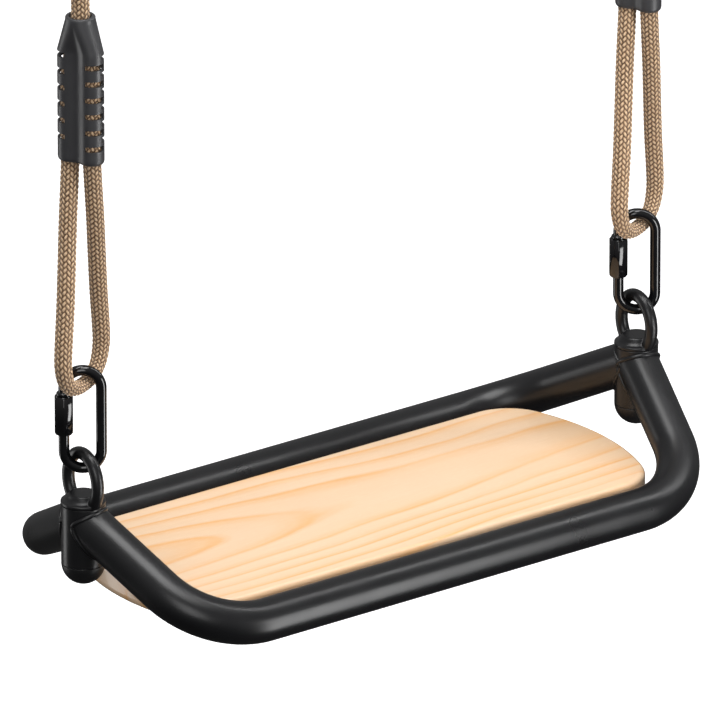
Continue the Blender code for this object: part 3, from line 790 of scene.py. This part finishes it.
def rope_mesh(line, distance):
    """A tube with the braid in relief, and UVs that count strands round it and steps along it."""
    count = len(line)
    frames = transported([tuple(point[:3]) for point in line])
    turns = (np.arange(ROPE_SIDES) + 0.5) / ROPE_SIDES
    around = turns * STRANDS
    points = np.empty((count, ROPE_SIDES, 3))
    for k, (point, (side, up)) in enumerate(zip(line, frames)):
        height = braid_height(around, distance[k] / STRAND_STEP)
        edge = min(k, count - 1 - k)
        closing = math.sqrt(1 - (1 - min(1.0, (edge + 0.3) / END_RINGS)) ** 2)
        reach = (point[3] - RELIEF + RELIEF * RELIEF_GAIN * height) * closing
        offsets = np.outer(np.cos(2 * np.pi * turns), side) + np.outer(np.sin(2 * np.pi * turns), up)
        points[k] = point[:3] + offsets * reach[:, None]
    faces = []
    for k in range(count - 1):
        for n in range(ROPE_SIDES):
            after = (n + 1) % ROPE_SIDES
            low, high = k * ROPE_SIDES, (k + 1) * ROPE_SIDES
            faces.append((low + n, low + after, high + after, high + n))
    faces.append(tuple(range(ROPE_SIDES - 1, -1, -1)))
    faces.append(tuple((count - 1) * ROPE_SIDES + n for n in range(ROPE_SIDES)))
    mesh = mesh_from(points.reshape(-1, 3), faces)
    uvs = mesh.uv_layers.new(name="braid")
    step = STRANDS / ROPE_SIDES
    for polygon in mesh.polygons:
        columns = [vertex % ROPE_SIDES for vertex in polygon.vertices]
        wraps = len(columns) == 4 and max(columns) - min(columns) > ROPE_SIDES / 2
        for corner, vertex in zip(polygon.loop_indices, polygon.vertices):
            ring, side = divmod(vertex, ROPE_SIDES)
            turn = (side + 0.5) * step + (STRANDS if wraps and side == 0 else 0)
            uvs.data[corner].uv = (turn, distance[ring] / STRAND_STEP)
    return mesh


def build_ropes(finish):
    spacing = STRAND_STEP / RINGS_PER_STEP
    line, distance = smooth_line(ROPE_ROUTE, spacing)
    mesh = rope_mesh(line, distance)
    outwards = mesh.vertices[0].co - Vector(line[0][:3])
    if mesh.polygons[0].normal.dot(outwards) < 0:
        mesh.flip_normals()
    for side, x in SIDES.items():
        here = Matrix.Translation((x, 0, FRAME_Z))
        nodes = (f"rope_{side}", f"upper_rope_{side}")
        rope = piece(f"braided_rope_{side}", moved(mesh, here), finish, None, "braid", *nodes, crease=80)
        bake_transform(rope)


# Clamp sleeves


def outline_of(spread, radius, valley, count=88):
    """Two round lobes along X with a soft valley between them, as evenly spaced points from the -Y valley."""
    ends = np.linspace(-math.pi / 2, math.pi / 2, 40)
    right = np.column_stack([spread + radius * np.cos(ends), radius * np.sin(ends)])
    middle = np.linspace(spread, 0, 24)
    dip = radius - valley * (1 + np.cos(np.pi * middle / max(spread, ON_AXIS))) / 2
    top = np.column_stack([middle, dip])
    half = np.vstack([np.column_stack([middle[::-1], -dip[::-1]]), right[1:], top[1:]])
    whole = np.vstack([half, -half[1:]])
    steps = np.linalg.norm(np.diff(whole, axis=0), axis=1)
    reached = np.concatenate([[0], np.cumsum(steps)])
    at = np.linspace(0, reached[-1], count + 1)[:-1]
    return np.column_stack([np.interp(at, reached, whole[:, k]) for k in range(2)])


def eased(t):
    t = min(max(t, 0.0), 1.0)
    return t * t * (3 - 2 * t)


def sleeve_mesh():
    """A moulded sleeve about its foot's centre, lobes along X, slotted from front and back in turn."""
    shoulder = SLEEVE_HEIGHT - SLEEVE_TAPER
    rings = []
    for angle in np.linspace(0.12, math.pi / 2, 7):
        pull = SLEEVE_ROUNDING * (1 - math.sin(angle)) * ROUNDING_PULL
        height = SLEEVE_ROUNDING * (1 - math.cos(angle))
        rings.append((LOBE_SPREAD, LOBE_RADIUS - pull, VALLEY, height))
    for height in np.linspace(SLEEVE_ROUNDING + 0.002, shoulder - 0.004, 36):
        rings.append((LOBE_SPREAD, LOBE_RADIUS, VALLEY, height))
    for t in np.linspace(0, 1, 16):
        lean = t * 0.75 + 0.25 * eased(t)
        spread = LOBE_SPREAD * (1 - lean)
        radius = LOBE_RADIUS + (NECK_RADIUS - LOBE_RADIUS) * eased(t)
        height = shoulder - 0.002 + t * (SLEEVE_TAPER - 0.0005)
        rings.append((spread, radius, VALLEY * (1 - t) ** 1.3, height))
    for angle in np.linspace(0.3, math.pi / 2, 5):
        radius = NECK_RADIUS - NECK_EDGE * (1 - math.cos(angle))
        rings.append((0, radius, 0, SLEEVE_HEIGHT - NECK_ROUNDING + NECK_ROUNDING * math.sin(angle)))
    inner = [(0, NECK_BORE + 0.0008, 0, SLEEVE_HEIGHT), (0, NECK_BORE, 0, SLEEVE_HEIGHT - NECK_EDGE)]
    inner.append((0, NECK_BORE, 0, SLEEVE_HEIGHT - NECK_DEPTH))
    for t in np.linspace(0.15, 1, 8):
        height = SLEEVE_HEIGHT - NECK_DEPTH - t * BORE_TAPER
        bore = NECK_BORE + (LOBE_BORE - NECK_BORE) * t
        inner.append((LOBE_SPREAD * t, bore, VALLEY_BORE * t, height))
    inner.append((LOBE_SPREAD, LOBE_BORE, VALLEY_BORE, 0.0015))
    inner.append((LOBE_SPREAD, LOBE_BORE + 0.0004, VALLEY_BORE, 0.0))
    skin = []
    for spread, radius, valley, height in rings + inner:
        skin.append([(x, y, height) for x, y in outline_of(spread, radius, valley)])
    shell = joined_rings(skin, cyclic=True)
    slots = []
    for end in (-1, 1):
        for k in range(2 * SLOT_COUNT):
            middle = SLOT_FIRST + k * SLOT_PITCH / 2
            front = (k % 2 == 0) == (end > 0)
            face = -1 if front else 1
            corner = (end * SLOT_INSET, -face * SLOT_BACK, middle - SLOT_HEIGHT / 2)
            opposite = (end * SLOT_REACH, face * SLOT_REACH, middle + SLOT_HEIGHT / 2)
            low = [min(a, b) for a, b in zip(corner, opposite)]
            high = [max(a, b) for a, b in zip(corner, opposite)]
            slots.append(bevelled(box(low, high), SLOT_EDGE, 2))
    return combined(shell, merged(slots))


def build_sleeves(finish):
    lower = sleeve_mesh()
    upper = moved(lower, Matrix.Rotation(math.pi, 4, "X") @ Matrix.Rotation(math.pi / 2, 4, "Z"))
    lower.transform(Matrix.Rotation(SEAT_SLEEVE_TURN, 4, "Z"))
    for side, x in SIDES.items():
        for level, mesh, foot in (("lower", lower, SEAT_SLEEVE_FOOT), ("upper", upper, HANGER_SLEEVE_FOOT)):
            placed = moved(mesh, Matrix.Translation((x, 0, foot)))
            body, node = f"{level}_rope_{side}", f"{level}_sleeve_{side}"
            piece(f"{level}_clamp_sleeve_{side}", placed, finish, body, "sleeve_grey", node, crease=38)


# Quick links


def hexagon(radius):
    corners = [math.radians(60 * k + 30) for k in range(6)]
    return [(radius * math.cos(a), radius * math.sin(a)) for a in corners]


def link_mesh():
    """The open rod about the link's centre, in XZ with its opening at -X, and its shoulder above the nut."""
    half = LINK_HALF_WIDTH
    straight = LINK_HALF_HEIGHT - half
    top = arc((0, straight), math.pi, 0, half, 36)
    foot = arc((0, -straight), 0, -math.pi, half, 36)
    right = [(half, z) for z in np.linspace(straight, -straight, 10)[1:-1]]
    stub = [(-half, z) for z in np.linspace(LINK_OPEN_TOP, straight, 5)[:-1]]
    tail = [(-half, z) for z in np.linspace(-straight, LINK_OPEN_FOOT, 9)[1:]]
    flat = [*stub, *top, *right, *foot, *tail]
    rod = bevelled(swept([(x, 0, z) for x, z in flat], LINK_ROD, 28), 0.0005, 2, 60)
    low = LINK_NUT_TOP + GAP
    high = low + COLLAR_DEPTH
    profile = [
        (LINK_ROD - 0.0010, high + 0.0004),
        (LINK_ROD + 0.0002, high + 0.0003),
        (COLLAR_RADIUS - 0.0006, high),
        (COLLAR_RADIUS - 0.0001, high - 0.0003),
        (COLLAR_RADIUS, high - 0.0008),
        (COLLAR_RADIUS, low + 0.0004),
        (COLLAR_RADIUS - 0.0004, low),
        (LINK_ROD - 0.0010, low),
    ]
    collar = moved(turned(profile, 40), Matrix.Translation((-half, 0, 0)))
    return combined(rod, collar, "UNION")


def nut_mesh():
    """The long hexagonal nut, turned down to a short neck at both ends."""
    low, high = LINK_NUT_FOOT, LINK_NUT_TOP
    blank = bevelled(prism(hexagon(LINK_NUT_RADIUS), low, high), 0.0004, 3)
    neck, shoulder, full = LINK_NUT_RADIUS * 0.80, LINK_NUT_RADIUS * 0.82, LINK_NUT_RADIUS + 0.0004
    profile = [
        (0, high),
        (neck, high),
        (shoulder, high - NUT_NECK),
        (full, high - NUT_CONE),
        (full, low + NUT_CONE),
        (shoulder, low + NUT_NECK),
        (neck, low),
        (0, low),
    ]
    rounded = combined(blank, turned(profile, 64), "INTERSECT")
    bore = LINK_NUT_BORE
    hole = [
        (0, high + 0.002),
        (bore + 0.0012, high + 0.0005),
        (bore, high - NUT_NECK),
        (bore, low + NUT_NECK),
        (bore + 0.0012, low - 0.0005),
        (0, low - 0.002),
    ]
    return combined(rounded, turned(hole, 32))


def build_links(finish):
    rod, nut = link_mesh(), nut_mesh()
    kinds = {
        "seat": (SEAT_LINK_CENTRE, SEAT_LINK_TURN, "seat_link_{}"),
        "hanger": (HANGER_LINK_CENTRE, 0.0, "hangers"),
    }
    for kind, (height, turn, body) in kinds.items():
        for side, x in SIDES.items():
            here = Matrix.Translation((x, 0, height)) @ Matrix.Rotation(turn, 4, "Z")
            name = f"{kind}_link_{side}"
            link = moved(rod, here)
            piece(f"{kind}_quick_link_{side}", link, finish, body.format(side), "link_black", name)
            at_nut = here @ Matrix.Translation((-LINK_HALF_WIDTH, 0, 0))
            nut_name = f"{kind}_link_nut_{side}"
            nut_body = f"{kind}_nut_{side}"
            piece(f"{kind}_link_hex_nut_{side}", moved(nut, at_nut), finish, nut_body, "link_black", nut_name)


# Frame


def bend(corner, before, after, radius, steps):
    corner = Vector(corner)
    back = (Vector(before) - corner).normalized()
    ahead = (Vector(after) - corner).normalized()
    half = back.angle(ahead) / 2
    centre = corner + (back + ahead).normalized() * radius / math.sin(half)
    first = corner + back * radius / math.tan(half)
    axis = back.cross(ahead).normalized()
    sweep = -(math.pi - 2 * half)
    turns = [Matrix.Rotation(sweep * k / steps, 3, axis) for k in range(steps + 1)]
    return [centre + turn @ (first - centre) for turn in turns]


def tube_path(way):
    posts = [Vector((x, 0, FRAME_Z)) for x in SIDES.values()]
    corners = [Vector((math.copysign(CORNER_X, x), way * BAR_Y, FRAME_Z - BAR_DROP)) for x in SIDES.values()]
    left = bend(corners[0], posts[0], corners[1], BEND_RADIUS, 26)
    right = bend(corners[1], corners[0], posts[1], BEND_RADIUS, 26)
    return [posts[0], *left, *right, posts[1]]


def tube_mesh(way):
    path = tube_path(way)
    outer = swept(path, TUBE_RADIUS - COAT_SHRINK, 56)
    first = path[0] + (path[0] - path[1]).normalized() * BORE_OVERRUN
    last = path[-1] + (path[-1] - path[-2]).normalized() * BORE_OVERRUN
    inner = swept([first, *path, last], TUBE_RADIUS - TUBE_WALL, 40)
    edge = way * GAP / 2
    beyond = edge - way * FAR_Y
    low = (-FAR_X, min(edge, beyond), FRAME_Z - FAR_Z)
    high = (FAR_X, max(edge, beyond), FRAME_Z + FAR_Z)
    post = pin(TUBE_RADIUS + GAP, COPE_FOOT, COPE_TOP, 96)
    copes = [moved(post, Matrix.Translation((x, 0, FRAME_Z))) for x in SIDES.values()]
    mesh = outer
    for cut in (inner, box(low, high), *copes):
        mesh = combined(mesh, cut)
    return mesh


def saddle(way, side, x):
    """The seam between a frame tube and a post, as a closed line on both."""
    path = tube_path(way)
    start, towards = (path[0], path[1]) if side == "left" else (path[-1], path[-2])
    axis = (towards - start).normalized()
    across = axis.cross(Vector((0, 0, 1))).normalized()
    up = across.cross(axis)
    seam = []
    for turn in np.linspace(0, 2 * math.pi, SEAM_POINTS + 1)[:-1]:
        offset = (across * math.cos(turn) + up * math.sin(turn)) * TUBE_RADIUS
        a = axis.x**2 + axis.y**2
        b = 2 * (axis.x * offset.x + axis.y * offset.y)
        c = offset.x**2 + offset.y**2 - (TUBE_RADIUS + SEAM_PROUD) ** 2
        run = (-b + math.sqrt(max(b * b - 4 * a * c, 0.0))) / (2 * a)
        seam.append(start + offset + axis * run)
    return softened(seam, x)


def softened(seam, x):
    """The seam with its sharp crossings rounded off, still on the post's face."""
    for _ in range(SEAM_ROUNDS):
        seam = [(seam[k - 1] + seam[k] * 2 + seam[(k + 1) % len(seam)]) / 4 for k in range(len(seam))]
    axis = [Vector((x, 0, point.z)) for point in seam]
    return [foot + (point - foot).normalized() * TUBE_RADIUS for foot, point in zip(axis, seam)]


def bead_mesh(seam, radius):
    """A weld bead along a closed seam, with faint ripples."""
    count = len(seam)
    rings = []
    for k, point in enumerate(seam):
        ahead = (seam[(k + 1) % count] - seam[k - 1]).normalized()
        side = ahead.cross(Vector((0, 0, 1)))
        side = side.normalized() if side.length > 1e-4 else Vector((1, 0, 0))
        up = side.cross(ahead)
        reach = radius * (1 + 0.03 * math.sin(k * 2.1))
        turns = (2 * math.pi * n / BEAD_SIDES for n in range(BEAD_SIDES))
        rings.append([point + (side * math.cos(a) + up * math.sin(a)) * reach for a in turns])
    return joined_rings(rings, cyclic=True)


def post_mesh():
    outer, inner = TUBE_RADIUS, TUBE_RADIUS - TUBE_WALL
    edge = 0.0002
    profile = [(outer - edge, POST_TOP), (outer, POST_TOP - edge)]
    profile += [(outer, z) for z in np.linspace(POST_TOP - 2 * edge, POST_FOOT + 2 * edge, 12)]
    profile += [(outer, POST_FOOT + edge), (outer - edge, POST_FOOT), (inner, POST_FOOT), (inner, POST_TOP)]
    return turned(profile, 72, cyclic=True)


def cap_mesh():
    stem = TUBE_RADIUS - TUBE_WALL - GAP
    rim = POST_FOOT - GAP
    reach = TUBE_RADIUS
    lip = [(reach - 0.0002, rim), (reach, rim - 0.0002)]
    turns = np.linspace(0.04, math.pi / 2 - 0.02, 22)
    dome = [(reach * math.cos(a), rim - reach * math.sin(a)) for a in turns]
    return turned([(0, CAP_STEM_TOP), (stem, CAP_STEM_TOP), (stem, rim), *lip, *dome], 72)


def eye_mesh():
    """The forged eye, its ring and foot run together."""
    turns = np.radians(np.linspace(*RING_SWEEP, 61))
    centre = RING_CENTRE
    path = [(0, RING_HALF_Y * math.cos(a), centre + RING_HALF_Z * math.sin(a)) for a in turns]
    ring = combined(swept(path, RING_ROD, 28), box((-0.03, -0.03, -0.03), (0.03, 0.03, EYE_SEAT + 0.0006)))
    foot = [
        (0, EYE_SEAT + 0.0080),
        (0.0096, EYE_SEAT + 0.0079),
        (0.0104, EYE_SEAT + 0.0073),
        (0.0118, EYE_SEAT + 0.0050),
        (0.0134, EYE_SEAT + 0.0034),
        (0.0152, EYE_SEAT + 0.0027),
        (0.0161, EYE_SEAT + 0.0025),
        (0.0163, EYE_SEAT + 0.0021),
        (0.0163, EYE_SEAT + 0.0004),
        (0.0160, EYE_SEAT + 0.0001),
        (SHANK_RADIUS, EYE_SEAT + 0.0001),
        (SHANK_RADIUS, SHANK_FOOT + 0.0008),
        (SHANK_RADIUS - 0.0008, SHANK_FOOT + 0.0002),
        (0, SHANK_FOOT + 0.0002),
    ]
    return melted(combined(turned(foot, 64), ring, "UNION"), EYE_VOXEL, 3)


def build_frame(coat, plastic):
    for name, way in (("front", -1), ("rear", 1)):
        piece(f"{name}_frame_tube", tube_mesh(way), coat, "seat", "frame_black", f"{name}_tube")
        for side, x in SIDES.items():
            bead = bead_mesh(saddle(way, side, x), BEAD_RADIUS)
            piece(f"{name}_weld_{side}", bead, coat, "seat", "frame_black")
    post, cap, eye = post_mesh(), cap_mesh(), eye_mesh()
    for side, x in SIDES.items():
        here = Matrix.Translation((x, 0, FRAME_Z))
        piece(f"frame_post_{side}", moved(post, here), coat, "seat", "frame_black", f"post_{side}")
        piece(f"domed_cap_{side}", moved(cap, here), plastic, "seat", "cap_black", f"post_cap_{side}")
        piece(f"forged_eye_{side}", moved(eye, here), coat, "seat", "frame_black", f"eye_{side}", crease=60)


# Board and what holds it


def board_outline():
    half_length = BOARD_LENGTH / 2
    bow_centre = half_length - BOARD_END_RADIUS
    across = BOARD_WIDTH / 2 - BOARD_CORNER_RADIUS
    along = bow_centre + math.sqrt((BOARD_END_RADIUS - BOARD_CORNER_RADIUS) ** 2 - across**2)
    meet = math.atan2(across, along - bow_centre)
    end = arc((bow_centre, 0), -meet, meet, BOARD_END_RADIUS, 24)
    corner = arc((along, across), meet, math.pi / 2, BOARD_CORNER_RADIUS, 20)
    right = [(x, -y) for x, y in reversed(corner[1:])] + end + corner[1:]
    return right + [(-x, -y) for x, y in right]


def inset(outline, depth):
    """The outline moved inwards by depth, along each point's normal."""
    points = np.array(outline)
    ahead = np.roll(points, -1, axis=0) - np.roll(points, 1, axis=0)
    normals = np.column_stack([-ahead[:, 1], ahead[:, 0]]) / np.linalg.norm(ahead, axis=1)[:, None]
    return points + normals * depth


def board_mesh():
    """The board, its edges rounded more below than above, drilled from below."""
    outline = board_outline()
    foot, top = BOARD_ROUNDING, BOARD_TOP_ROUNDING
    rings = []
    turns = np.linspace(0, math.pi / 2, 12)
    for a in turns:
        rings.append((foot * (1 - math.sin(a)), -BOARD_THICK + foot * (1 - math.cos(a))))
    for a in turns[::-1]:
        rings.append((top * (1 - math.sin(a)), -top * (1 - math.cos(a))))
    loops = [[(x, y, z) for x, y in inset(outline, depth)] for depth, z in rings]
    mesh = joined_rings(loops)
    holes = []
    for x in (-STRAP_X, STRAP_X):
        for y in (-SCREW_Y, SCREW_Y):
            hole = pin(SCREW_SHANK + GAP, -0.002, SCREW_DEPTH + GAP, 24)
            holes.append(moved(hole, Matrix.Translation((x, y, -BOARD_THICK))))
    return combined(mesh, merged(holes))


def strap_mesh():
    top = -BOARD_THICK - GAP
    half = STRAP_WIDTH / 2
    bar = box((-half, -STRAP_REACH, top - STRAP_THICK), (half, STRAP_REACH, top))
    holes = []
    for y in (-SCREW_Y, SCREW_Y):
        hole = pin(SCREW_SHANK + GAP, -0.02, 0.01, 24)
        holes.append(moved(hole, Matrix.Translation((0, y, top))))
    return bevelled(combined(bar, merged(holes)), 0.0005, 2, 50)


def screw_mesh():
    """A pan-head wood screw, its head down, with a cross recess and the ridges of a coarse thread."""
    under = -2 * GAP - STRAP_THICK
    foot = under - SCREW_HEAD_DEPTH
    profile = [(0, SCREW_DEPTH), (0.0004, SCREW_DEPTH - 0.0002)]
    root, pitch = SCREW_SHANK * 0.72, SCREW_PITCH
    threads = int((SCREW_DEPTH - 0.003) / pitch)
    for k in range(threads):
        z = SCREW_DEPTH - 0.0022 - k * pitch
        profile += [(root, z + pitch * 0.5), (SCREW_SHANK, z), (root, z - pitch * 0.3)]
    profile += [(SCREW_SHANK * 0.8, 0.0), (SCREW_SHANK * 0.8, under), (SCREW_HEAD, under)]
    for a in np.linspace(0, math.pi / 2 - 0.05, 9):
        radius = SCREW_HEAD * (0.55 + 0.45 * math.cos(a))
        profile.append((radius, under - SCREW_RIM - (SCREW_HEAD_DEPTH - SCREW_RIM) * math.sin(a)))
    profile.append((0, foot))
    body = turned(profile, 40)
    arm, width, deep = 0.0024, 0.00055, 0.0014
    body = combined(body, box((-arm, -width, foot - 0.001), (arm, width, foot + deep)))
    return combined(body, box((-width, -arm, foot - 0.001), (width, arm, foot + deep)))


def build_board(pine, coat, zinc):
    top = Vector((0, 0, BOARD_TOP))
    mesh = moved(board_mesh(), Matrix.Translation(top))
    piece("pine_board", mesh, pine, "seat", "pine", "seat_board", crease=50)
    strap, screw = strap_mesh(), screw_mesh()
    for side, x in SIDES.items():
        x = math.copysign(STRAP_X, x)
        here = Matrix.Translation(top + Vector((x, 0, 0)))
        piece(f"board_strap_{side}", moved(strap, here), coat, "seat", "frame_black", f"seat_strap_{side}")
        for end, y in (("front", -SCREW_Y), ("rear", SCREW_Y)):
            there = Matrix.Translation(top + Vector((x, y, -BOARD_THICK)))
            node = f"strap_screw_{side}_{end}"
            piece(f"wood_screw_{side}_{end}", moved(screw, there), zinc, "seat", "zinc", node)


def dress_hidden_nodes(zinc):
    """The threaded bushes and lock nuts inside the posts keep their CAD shape."""
    for side in SIDES:
        for name in (f"eye_bush_{side}", f"eye_nut_{side}"):
            mesh = frame["nodes"][name].data
            mesh.materials.clear()
            mesh.materials.append(zinc)


add_camera()
build_ropes(braid_cover())
add_studio()
coat = powder_coat("black_powder_coat", (0.0055, 0.0055, 0.0062), 0.27, 0.35)
plastic = powder_coat("black_cap_plastic", (0.0066, 0.0066, 0.0072), 0.37, 0.46)
zinc = zinc_steel()
build_sleeves(sleeve_plastic())
build_links(gloss_black("gloss_black"))
build_frame(coat, plastic)
build_board(varnished_pine(), coat, zinc)
dress_hidden_nodes(zinc)
